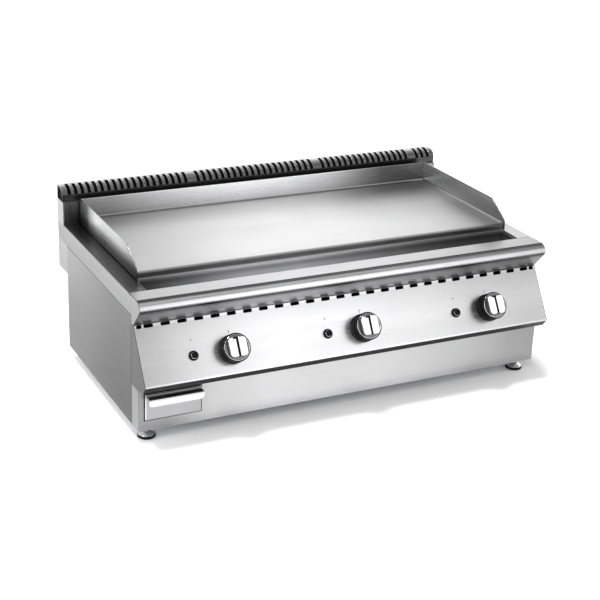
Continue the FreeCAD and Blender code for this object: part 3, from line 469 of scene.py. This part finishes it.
def lathe(prof, mat4, n=72):
    """A profile of (radius, height) turned about local Z."""
    v, f, rings = [], [], []
    for r, z in prof:
        if r < 1e-6:
            rings.append([len(v)])
            v.append(mat4 @ Vector((0, 0, z)))
        else:
            rings.append(list(range(len(v), len(v) + n)))
            for k in range(n):
                a = 2 * math.pi * k / n
                v.append(mat4 @ Vector((r * math.cos(a), r * math.sin(a), z)))
    for a, b in zip(rings, rings[1:]):
        for k in range(n):
            k2 = (k + 1) % n
            if len(a) == 1 and len(b) == 1:
                continue
            if len(a) == 1:
                f.append((a[0], b[k], b[k2]))
            elif len(b) == 1:
                f.append((a[k], a[k2], b[0]))
            else:
                f.append((a[k], a[k2], b[k2], b[k]))
    return v, f


# ------------------------------------------------------------------ worktop frame
nose_curve = spline([(STRIP - 1.6, TOPZ - 1.6), (STRIP - 5.5, TOPZ - 2.2), (STRIP - 9.5, TOPZ - 3.2),
                     (STRIP - 14.5, TOPZ - 6), (STRIP - 18.5, TOPZ - 9.6), (STRIP - 21.2, TOPZ - 14.2),
                     (STRIP - 22, TOPZ - 19.5), (STRIP - 20.8, TOPZ - 25), (STRIP - 17.4, TOPZ - 30.4)], 3)
tail = fillet([nose_curve[-1], (STRIP + 24, SKIRT - 24), (STRIP + 36, SKIRT - 24)], 3)
head = fillet([(OPENY, TOPZ - 18), (OPENY, TOPZ), (STRIP, TOPZ), nose_curve[0]], [0, 2.4, 0.8, 0])
nose = head[:-1] + nose_curve[:-1] + tail
parts = [prism(bent(nose, TT), -HW + TT, HW - TT)]
end = [(SIDEY, SKIRT - 24)] + [p for p in nose[::-1] if p[0] < SIDEY - 0.5 and p[1] > SKIRT - 25] + [(SIDEY, TOPZ)]
from_parts("worktop_front_roll", parts, "chassis", M["steel_worktop"], "steel_worktop", ["worktop_frame"], angle=40)
for s, tag in ((-1, "left"), (1, "right")):
    a, b = sorted((s * HW, s * (HW - TT)))
    from_parts("worktop_cap_" + tag, [prism(end, a, b)], "chassis", M["worktop_side_" + tag], "steel_worktop",
               bevel=0.5, seg=2, angle=40)
for s, tag in ((-1, "left"), (1, "right")):
    path = fillet([(s * HW, SKIRT), (s * HW, TOPZ), (s * 556, TOPZ), (s * 556, TOPZ - 18)], 2.4)
    parts = [prism(bent(path, TT, 1 if s > 0 else -1), OPENY, RISER_Y, "y")]
    a, b = sorted((s * HW, s * (HW - TT)))
    parts.append(block((a, b), (SIDEY, OPENY), (SKIRT, TOPZ - TT)))
    parts.append(block((a, b), (RISER_Y, REAR_Y), (SKIRT, TOPZ - TT)))
    from_parts("worktop_strip_" + tag, parts, "chassis", M["worktop_side_" + tag], "steel_worktop", angle=40)

# ------------------------------------------------------------------ control panel
path = [(PANEL_Y + 14, PANEL_Z + 6.5), (PANEL_Y + 2.6, PANEL_Z + 6.5), (PANEL_Y, PANEL_Z),
        (PANEL_Y - PANEL_L * CT, PANEL_Z - PANEL_L * ST),
        (PANEL_Y - PANEL_L * CT + 16, PANEL_Z - PANEL_L * ST - 22),
        (APRON_Y, APRON_Z + 1.6), (APRON_Y + 10, APRON_Z + 1.6)]
v, f = prism(bent(fillet(path, [0, 2.0, 2.2, 3.0, 3.0, 2.5, 0]), T), -HW + T, HW - T)
me = bpy.data.meshes.new("control_fascia")
me.from_pydata([tuple(p) for p in v], [], f)
me.update()
cutters = []
slots = [(44.9 * (i - 12.5), 12.5) for i in range(26)] + [(-586, 7.0), (586, 7.0)]
for cx, half in slots:
    pts = fillet([(cx - half, PANEL_Z - 2.4), (cx + half, PANEL_Z - 2.4), (cx + half, PANEL_Z + 6.0),
                  (cx - half, PANEL_Z + 6.0)], 3.0, 4, True)
    cutters.append(prism(pts, PANEL_Y - 6, PANEL_Y + 7, "y"))
for x in KNOBS:
    cutters.append(lathe([(0, -8), (9, -8), (9, 8), (0, 8)], on_panel(x, ROW), 40))
    cutters.append(lathe([(0, -8), (8.6, -8), (8.6, 8), (0, 8)], on_panel(x - IGN_OFF, IGN_ROW), 40))
cv, cf = [], []
for a, b in cutters:
    k = len(cv)
    cv += [tuple(p) for p in a]
    cf += [tuple(i + k for i in q) for q in b]
cme = bpy.data.meshes.new("cutters")
cme.from_pydata(cv, [], cf)
cme.update()
for mm_ in (me, cme):
    bm = bmesh.new()
    bm.from_mesh(mm_)
    bmesh.ops.recalc_face_normals(bm, faces=bm.faces)
    bm.to_mesh(mm_)
    bm.free()
fascia0 = bpy.data.objects.new("fascia_raw", me)
cutter = bpy.data.objects.new("fascia_cutter", cme)
for o in (fascia0, cutter):
    scene.collection.objects.link(o)
bo = fascia0.modifiers.new("holes", "BOOLEAN")
bo.operation = "DIFFERENCE"
bo.solver = "EXACT"
bo.object = cutter
deps = bpy.context.evaluated_depsgraph_get()
holed = bpy.data.meshes.new_from_object(fascia0.evaluated_get(deps))
for o in (fascia0, cutter):
    bpy.data.objects.remove(o)
holed.materials.clear()
finish_mesh("control_fascia", holed, "chassis", M["steel_control_panel"], "steel_control_panel", ["control_panel"],
            angle=30)

# ------------------------------------------------------------------ flue grille
HB, HZ, HR, HH = RISER_Y + 8, RISER_Z + 18, 36.0, GRILLE_Z - RISER_Z - 18
arc = [(HB, HZ - 0.6)]
for k in range(0, 16):
    a = math.radians(6 * k)
    arc.append((HB + HR * (1 - math.cos(a)), HZ + HH * math.sin(a)))
arc.append((HB + HR + 0.6, GRILLE_Z))
rib = bent(arc, TT, -1)
parts = [block((-HW, HW), (HB, HB + TT), (RISER_Z, HZ + 0.8))]
rear = fillet([(HB + HR, GRILLE_Z), (REAR_Y, GRILLE_Z), (REAR_Y, RISER_Z)], 2.4)
parts.append(prism(bent(rear, TT, -1), -HW, HW))
from_parts("flue_hood", parts, "chassis", M["steel_grille"], "steel_grille", ["flue_grille"], bevel=0.5, seg=2)
edges = [-HW]
for i in range(61):
    if i in (19, 40, 57):
        continue
    c = 19.27 * (i - 30)
    edges += [c - 5, c + 5]
edges.append(HW)
parts = [prism(rib, edges[k], edges[k + 1]) for k in range(0, len(edges), 2)]
from_parts("flue_ribs", parts, "chassis", M["steel_grille"], "steel_grille", bevel=0.7, seg=2, angle=40)
# painted shade: near-black sheets lining the inside of the flue hood
liner = [block((-HW + 6, HW - 6), (REAR_Y - T - 1.2, REAR_Y - T - 0.3), (262, GRILLE_Z - 3)),
         block((-HW + 6, HW - 6), (RISER_Y + T + 0.3, RISER_Y + T + 1.2), (394, RISER_Z - 0.5)),
         block((-HW + 6, HW - 6), (RISER_Y + 9.5, REAR_Y - T - 1.2), (400, 401))]
endshape = [(HB + 3, RISER_Z + 1)] + [(p[0] + 2.6, p[1] - 1.5) for p in arc[1:-1]] + [
    (REAR_Y - 4, GRILLE_Z - 3), (REAR_Y - 4, RISER_Z + 1)]
for s in (-1, 1):
    a, b = sorted((s * (HW - 7), s * (HW - 6)))
    liner.append(prism(endshape, a, b))
from_parts("flue_liner", liner, "chassis", PAINTED_SHADE_LINER, "steel_grille")

# ------------------------------------------------------------------ plate and guards
pl = fillet([(PF, PT - 15), (PF, PT), (PR, PT), (PR, PT - 15)], [0, 2.2, 0, 0])
from_parts("griddle_plate_ground", [prism(pl, -PX, PX)], "chassis", M["griddle_steel"], "griddle_steel",
           ["griddle_plate"], angle=40)
GM = 2.5
gpath = spline([(PF - 4, PT + 6), (PF - 2, PT + 10.5), (PF + 3, PT + 15.5)], 4) + \
    fillet([(PF + 3.4, PT + 15.8), (PF + 62, GUARD_Z - 2.8), (PF + 72, GUARD_Z), (PR + GM, GUARD_Z)],
           [0, 26, 20, 0], 5)[1:]
guard = [(PF - 4, TOPZ - 25)] + gpath + [(PR + GM, TOPZ - 25)]
for tag, x0 in (("left", -PX - GM), ("right", PX)):
    from_parts("splash_wall_" + tag, [prism(guard, x0, x0 + GM)], "chassis", M["guard_" + tag], "steel_guard",
               ["splash_guard_" + tag], bevel=0.8, seg=3, angle=50)
from_parts("splash_wall_rear", [block((-PX, PX), (PR, PR + GM), (TOPZ - 25, GUARD_Z))], "chassis", M["steel_guard"],
           "steel_guard", ["splash_guard_rear"], bevel=0.8, seg=3)


def cove(r, steps=6):
    return [(0, 0), (r, 0)] + [(r - r * math.sin(math.radians(90 * k / steps)), r - r * math.cos(math.radians(90 * k / steps)))
                               for k in range(1, steps)] + [(0, r)]


parts = [prism([(PR - a, PT + b) for a, b in cove(5)], -PX, PX)]
for s in (-1, 1):
    parts.append(prism([(s * PX - s * a, PT + b) for a, b in cove(5)], PF + 1, PR, "y"))
from_parts("plate_weld_coves", parts, "chassis", M["griddle_steel"], "griddle_steel", angle=30)

# ------------------------------------------------------------------ knobs
for i, x in enumerate(KNOBS):
    n = i + 1
    body = "knob_unit_%d" % n
    mt = on_panel(x, ROW)
    skirt = fillet([(24.6, 7), (25.2, 6.1), (27.5, 6.1), (27.5, 18.5), (29.9, 21.5), (35.9, 28.2), (37.4, 30.2),
                    (37.4, 35.6), (36.5, 37), (34.7, 36.7), (34.3, 34.9), (0, 34.9)],
                   [0, 0.4, 0.8, 3, 3, 3, 1.2, 1.0, 0.5, 0.4, 0.3, 0], 3)
    from_parts("knob_skirt_%d" % n, [lathe(skirt, mt, 96)], body, M["black_plastic"], "black_plastic",
               ["knob_%d" % n], angle=50)
    ring = fillet([(32.0, 35.0), (32.4, 36.4), (33.2, 36.9), (34.0, 36.7), (34.3, 35.0)], 0.4, 3)
    face = [(0, 36.1), (12, 36.05), (24, 35.7), (32.2, 35.2)]
    from_parts("knob_ring_%d" % n, [lathe(ring, mt, 96)], body, M["bright_chrome"], "bright_chrome", angle=60)
    # the knob face and the lobe feet below use the painted-shade chrome
    from_parts("knob_face_%d" % n, [lathe(face, mt, 96)], body, SHADE, "knob_chrome", angle=60)

    def local_block(pts, z0, z1):
        k = len(pts)
        v = [mt @ Vector((a, b, z0)) for a, b in pts] + [mt @ Vector((a, b, z1)) for a, b in pts]
        f = [tuple(range(k))[::-1], tuple(range(k, 2 * k))] + [(j, (j + 1) % k, k + (j + 1) % k, k + j) for j in range(k)]
        return v, f

    def lobe(x0, x1, y0, y1, r_out, z0, z1):
        rr = [r_out, 2.0, 2.0, r_out] if x0 < 0 else [2.0, r_out, r_out, 2.0]
        return local_block(fillet([(x0, y0), (x1, y0), (x1, y1), (x0, y1)], rr, 6, True), z0, z1)

    for tag, sg in (("left", -1), ("right", 1)):
        a, b = sorted((sg * 24.4, sg * 2.6))
        from_parts("knob_lobe_foot_%s_%d" % (tag, n), [lobe(a, b, -25.2, 26.4, 10, 35.3, 45)], body, SHADE,
                   "knob_chrome", bevel=0.8, seg=2)
        a, b = sorted((sg * 23.4, sg * 3.1))
        from_parts("knob_lobe_%s_%d" % (tag, n), [lobe(a, b, -24.0, 25.4, 9.2, 44.4, 48.4)], body, M["knob_chrome"],
                   "knob_chrome", bevel=1.5, seg=4)
    bar = local_block([(-2.7, -24), (2.7, -24), (2.7, 25), (-2.7, 25)], 35.2, 47.4)
    cap = local_block(fillet([(-12, 19.5), (-2, 21), (3.4, 21), (3.4, 25.6), (-10, 25.6)], 1.2, 4, True), 44.4, 48.9)
    from_parts("knob_pointer_%d" % n, [bar, cap], body, M["black_plastic"], "black_plastic", bevel=0.4, seg=2)

# bezels, igniter rings and buttons
parts, rings_, collars = [], [], []
for i, x in enumerate(KNOBS):
    parts.append(lathe(fillet([(28.7, 0.2), (28.8, 14.5), (29.6, 15.5), (32.5, 18.6), (36, 16.5), (38, 10), (38.4, 3), (38.4, 0.2)],
                              [0, 0.5, 0.8, 1.5, 2, 2, 0.8, 0], 3), on_panel(x, ROW), 96))
    rings_.append(lathe(fillet([(9.2, 0.2), (9.2, 4.2), (10, 5), (11.6, 5), (12.4, 4.4), (13, 2), (13, 0.1)],
                               [0, 0.4, 0.5, 0.6, 1.0, 1.0, 0], 3), on_panel(x - IGN_OFF, IGN_ROW), 64))
    collars.append(lathe(fillet([(8.3, 0.2), (8.3, 8.0), (9.0, 8.0), (9.3, 4.0)], [0, 0.3, 0.4, 0], 3),
                         on_panel(x - IGN_OFF, IGN_ROW), 56))
from_parts("knob_collars", parts, "chassis", M["black_plastic"], "black_plastic", ["knob_bezels"], angle=50)
from_parts("igniter_rings", rings_, "chassis", M["black_plastic"], "black_plastic", angle=50)
from_parts("igniter_inner_rings", collars, "chassis", M["bright_chrome"], "bright_chrome", ["igniter_nuts"], angle=50)
for i, x in enumerate(KNOBS):
    n = i + 1
    prof = fillet([(0, -13.8), (7.9, -13.8), (7.9, 12), (7.4, 13.6), (6.2, 14.5), (2.5, 15), (0, 15)],
                  [0, 0.5, 1.5, 1, 1, 1, 0], 3)
    from_parts("igniter_cap_%d" % n, [lathe(prof, on_panel(x - IGN_OFF, IGN_ROW), 56)], "igniter_%d" % n,
               M["black_plastic"], "black_plastic", ["igniter_button_%d" % n], angle=50)

# small generic marks above the knobs and the igniters
parts = []
for x in KNOBS:
    parts.append(lathe([(2.2, 0.0), (2.2, 0.14), (0, 0.16)], on_panel(x - IGN_OFF, 50), 20))
    for a0, a1, da, db in ((0, 0, 41, 46.5), (-2.2, 0, 51, 46.5), (2.2, 0, 51, 46.5)):
        m0 = on_panel(x, ROW)
        d = Vector((a1 - a0, db - da, 0))
        L = Vector((-d.y, d.x, 0)).normalized() * 0.6
        q = [Vector((a0, da, 0)) + L, Vector((a1, db, 0)) + L, Vector((a1, db, 0)) - L, Vector((a0, da, 0)) - L]
        v = [m0 @ (p_ + Vector((0, 0, hh))) for hh in (0.0, 0.14) for p_ in q]
        parts.append((v, [(0, 1, 2, 3), (7, 6, 5, 4), (0, 4, 5, 1), (1, 5, 6, 2), (2, 6, 7, 3), (3, 7, 4, 0)]))
from_parts("panel_marks", parts, "chassis", MARK, "black_plastic")

# ------------------------------------------------------------------ drawer
face = prism(fillet([(DL, DB), (DR, DB), (DR, DT), (DL, DT)], 1.2, 3, True), APRON_Y, APRON_Y + T, "y")
from_parts("drawer_face", [face], "drawer", M["drawer_steel"], "steel_apron", ["drawer_front"], bevel=0.4, seg=2)
lip = fillet([(APRON_Y, DT - 3), (APRON_Y - 16, DT - 3), (APRON_Y - 24, DT - 5), (APRON_Y - 27, DT - 10),
              (APRON_Y - 26, DT - 24)], [0, 8, 5, 5, 0], 4)
dist = [0]
for a, b in zip(lip, lip[1:]):
    dist.append(dist[-1] + math.hypot(b[0] - a[0], b[1] - a[1]))
extra = []
path2 = []
for k in range(len(lip)):
    path2.append((lip[k], dist[k]))
last_a, last_b = lip[-2], lip[-1]
seg_len = dist[-1] - dist[-2]
path2 = path2[:-1] + [((last_a[0] + (last_b[0] - last_a[0]) * t, last_a[1] + (last_b[1] - last_a[1]) * t),
                       dist[-2] + seg_len * t) for t in (0.3, 0.5, 0.62, 0.72, 0.8, 0.87, 0.93, 0.97, 1.0)]
total = dist[-1]
R = 8.0
cols = 21
v, f = [], []
for (py, pz), dd in path2:
    rem = total - dd
    inset = R - math.sqrt(max(0, R * R - (R - rem) ** 2)) if rem < R else 0.0
    a, b = DL + 2 + inset, DR - 2 - inset
    for c in range(cols):
        v.append(P(a + (b - a) * c / (cols - 1), py, pz))
for r in range(len(path2) - 1):
    for c in range(cols - 1):
        k = r * cols + c
        f.append((k, k + 1, k + cols + 1, k + cols))
me = bpy.data.meshes.new("drawer_pull")
me.from_pydata([tuple(p) for p in v], [], f)
me.update()
bm = bmesh.new()
bm.from_mesh(me)
bmesh.ops.recalc_face_normals(bm, faces=bm.faces)
mid = bm.faces[:]
c0 = sum((fc.calc_center_median() for fc in mid), Vector()) / len(mid)
if sum((fc.normal.dot(Vector((0, -1, 0.6))) for fc in mid)) < 0:
    bmesh.ops.reverse_faces(bm, faces=mid)
bm.to_mesh(me)
bm.free()
for p in me.polygons:
    p.use_smooth = True
me.materials.append(M["pull_steel"])
pull = bpy.data.objects.new("drawer_pull", me)
scene.collection.objects.link(pull)
so = pull.modifiers.new("sheet", "SOLIDIFY")
so.thickness = T * MM
so.offset = -1
bv = pull.modifiers.new("edges", "BEVEL")
bv.width = 0.35 * MM
bv.segments = 2
bv.limit_method = "ANGLE"
bv.angle_limit = math.radians(50)
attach(pull, "drawer")
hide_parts("drawer_handle")

# painted shade: a near-black sheet in the recess above the drawer
from_parts("drawer_recess", [block((DL - 3.5, DR + 1), (APRON_Y + 7, APRON_Y + 8), (127, APRON_Z - 1))], "chassis", PAINTED_SHADE_LINER,
           "steel_apron")

# ------------------------------------------------------------------ feet
for tag, yy in (("front_left", -296), ("front_right", -296), ("rear_left", 195), ("rear_right", 195)):
    fa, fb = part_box("foot_" + tag)
    mt = upright((fa.x + fb.x) / 2 / MM, yy)
    body = "foot_%s_unit" % tag
    rub = fillet([(0, 0.0), (21, 0.0), (23.9, 2), (23.9, 7), (22, 8.8), (20.5, 8.9)], [0, 0.6, 1.2, 1.2, 0.8, 0], 3)
    from_parts("foot_pad_" + tag, [lathe(rub, mt, 72)], body, RUBBER, "black_plastic", ["foot_" + tag], angle=50)
    disc = fillet([(22.2, 8.5), (21.2, 9.6), (15, 12.6), (9.5, 15), (9.5, 12)], [0, 0.8, 8, 0.5, 0], 5)
    from_parts("foot_disc_" + tag, [lathe(disc, mt, 72)], body, M["bright_chrome"], "foot_steel", angle=50)
    stud = [(12.6, 10.2), (9.6, 13.2), (9, 14.4), (9, 24.4), (8.4, 25), (5, 25.6)]
    z = 26.0
    while z < 61:
        stud += [(4.5, z), (5.0, z + 0.7)]
        z += 1.4
    stud += [(4.2, 61.6), (0, 61.8)]
    from_parts("foot_stud_" + tag, [lathe(stud, mt, 48)], body, DARK, "foot_steel", angle=60)

# ------------------------------------------------------------------ floor and light
me = bpy.data.meshes.new("floor")
me.from_pydata([(-40, -40, -0.0004), (40, -40, -0.0004), (40, 40, -0.0004), (-40, 40, -0.0004)], [], [(0, 1, 2, 3)])
floor = bpy.data.objects.new("floor", me)
scene.collection.objects.link(floor)
fm, nt, bs = new_mat("pale_floor")
bs.inputs["Base Color"].default_value = (0.93, 0.93, 0.93, 1)
bs.inputs["Roughness"].default_value = 1.0
bs.inputs["Specular IOR Level"].default_value = 0.0
me.materials.append(fm)

world = bpy.data.worlds.new("studio")
scene.world = world
world.use_nodes = True
nt = world.node_tree
bg = nt.nodes["Background"]
tc = nt.nodes.new("ShaderNodeTexCoord").outputs["Generated"]
sep = nt.nodes.new("ShaderNodeSeparateXYZ")
link(nt, tc, sep.inputs[0])
sky = ramp(nt, sep.outputs[2], -1.0, 1.0, [(-1.0, 1.0), (0.0, 0.95), (0.3, 1.0), (0.58, 1.0), (0.68, 0.5), (0.78, 0.2),
                                          (1.0, 0.3)])
sidev = ramp(nt, sep.outputs[0], -1.0, 1.0, [(-1.0, 0.8), (0.0, 0.95), (1.0, 1.15)])
link(nt, times(nt, sky, sidev), bg.inputs["Color"])
bg.inputs["Strength"].default_value = 1.25


def soft_light(name, loc, aim, size, power):
    ld = bpy.data.lights.new(name, "AREA")
    ld.shape = "RECTANGLE"
    ld.size, ld.size_y = size
    ld.energy = power
    lo = bpy.data.objects.new(name, ld)
    scene.collection.objects.link(lo)
    lo.location = loc
    lo.rotation_euler = (Vector(aim) - Vector(loc)).to_track_quat("-Z", "Y").to_euler()


soft_light("soft_left", (-3.4, -1.6, 3.2), (0, 0, 0.1), (3.0, 3.0), 110)
sun = bpy.data.lights.new("soft_sky", "SUN")
sun.energy = 2.7
sun.angle = math.radians(14)
so_ = bpy.data.objects.new("soft_sky", sun)
scene.collection.objects.link(so_)
so_.rotation_euler = (math.radians(-5), math.radians(-10), 0)
